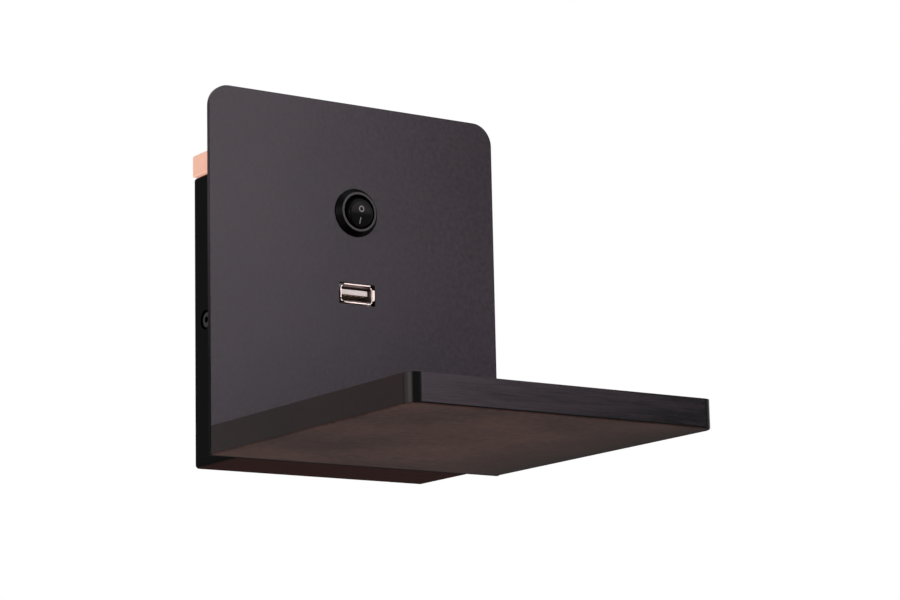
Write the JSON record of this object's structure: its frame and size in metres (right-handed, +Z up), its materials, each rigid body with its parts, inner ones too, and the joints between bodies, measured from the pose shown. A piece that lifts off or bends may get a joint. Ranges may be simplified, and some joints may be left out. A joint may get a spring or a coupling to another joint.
{
  "type": "wall lamp with shelf",
  "caption": "Wall lamp with a flat front plate, a small shelf, an opal up-light on the box behind it, a round rocker switch and a charging socket.",
  "frame": {"origin": "middle of the two wall fixing slots, on the wall", "axes": "+X to the right seen from the room, +Y into the wall, +Z up"},
  "size_m": [0.12, 0.155, 0.131],
  "materials": {
    "plate_powder": "fine matt powder coat, near black",
    "shelf_powder": "fine matt powder coat, front edge brushed sideways",
    "housing_powder": "smooth black powder coat",
    "opal": "opal acrylic, lit from inside",
    "switch_black": "moulded black, satin",
    "socket_steel": "bright nickel plate",
    "socket_plastic": "white moulded",
    "zinc": "bright zinc plate",
    "black_screw": "black oxide",
    "earth_steel": "yellow zinc plate",
    "tape": "foam tape",
    "board_white": "white solder mask on aluminium",
    "emitter": "warm phosphor",
    "black_rubber": "soft matt",
    "natural_nylon": "natural nylon",
    "brass": "plain brass",
    "copper": "copper alloy strip",
    "silver_contact": "silver rivet",
    "case_white": "white moulded",
    "board_green": "green solder mask",
    "ferrite": "ferrite with a taped winding",
    "capacitor": "blue-black sleeve",
    "lead_brown": "brown insulation",
    "lead_blue": "blue insulation",
    "lead_red": "red insulation",
    "lead_earth": "green and yellow insulation"
  },
  "bodies": {
    "lamp": {"front_plate": "plate_powder", "shelf_top": "plate_powder", "shelf_tray": "shelf_powder", "housing": "housing_powder", "diffuser": "opal", "switch_body": "switch_black", "usb_shell": "socket_steel", "usb_tongue": "socket_plastic", "plate_studs": "zinc", "plate_nuts": "zinc", "shelf_nuts": "zinc", "shelf_screws": "zinc", "shelf_stiffener": "zinc", "led_screws": "zinc", "bracket_nuts": "zinc", "terminal_screws": "zinc", "block_screws": "zinc", "driver_screws": "zinc", "usb_case_screws": "zinc", "wall_bracket": "zinc", "side_screws": "black_screw", "earth_screw": "earth_steel", "shelf_tape": "tape", "led_board": "board_white", "led_chips": "emitter", "led_bush": "black_rubber", "cable_grommet": "black_rubber", "terminal_block": "natural_nylon", "terminal_clamps": "brass", "earth_tag": "brass", "usb_contacts": "brass", "common_terminal": "brass", "load_terminal": "brass", "switch_connectors": "brass", "driver_case": "case_white", "driver_lid": "case_white", "usb_case": "case_white", "usb_lid": "case_white", "usb_board": "board_green", "usb_transformer": "ferrite", "usb_capacitor": "capacitor", "live_leads": "lead_brown", "switched_lead": "lead_brown", "neutral_leads": "lead_blue", "led_leads": "lead_red", "earth_lead": "lead_earth"},
    "rocker": {"switch_rocker": "switch_black", "switch_plunger": "natural_nylon", "switch_spring": "zinc"},
    "lever": {"contact_lever": "copper", "moving_contact": "silver_contact"}
  },
  "joints": [
    {"name": "rocker_press", "type": "hinge", "parent": "lamp", "child": "rocker", "pos_m": [0, -0.0308, 0.039], "axis": [1, 0, 0], "range_deg": [-24, 0]},
    {"name": "lever_tip", "type": "hinge", "parent": "lamp", "child": "lever", "pos_m": [0, -0.023, 0.039], "axis": [1, 0, 0], "range_deg": [0, 18]}
  ],
  "couplings": [
    {"joint": "lever_tip", "follows": "rocker_press", "ratio": -0.75}
  ]
}
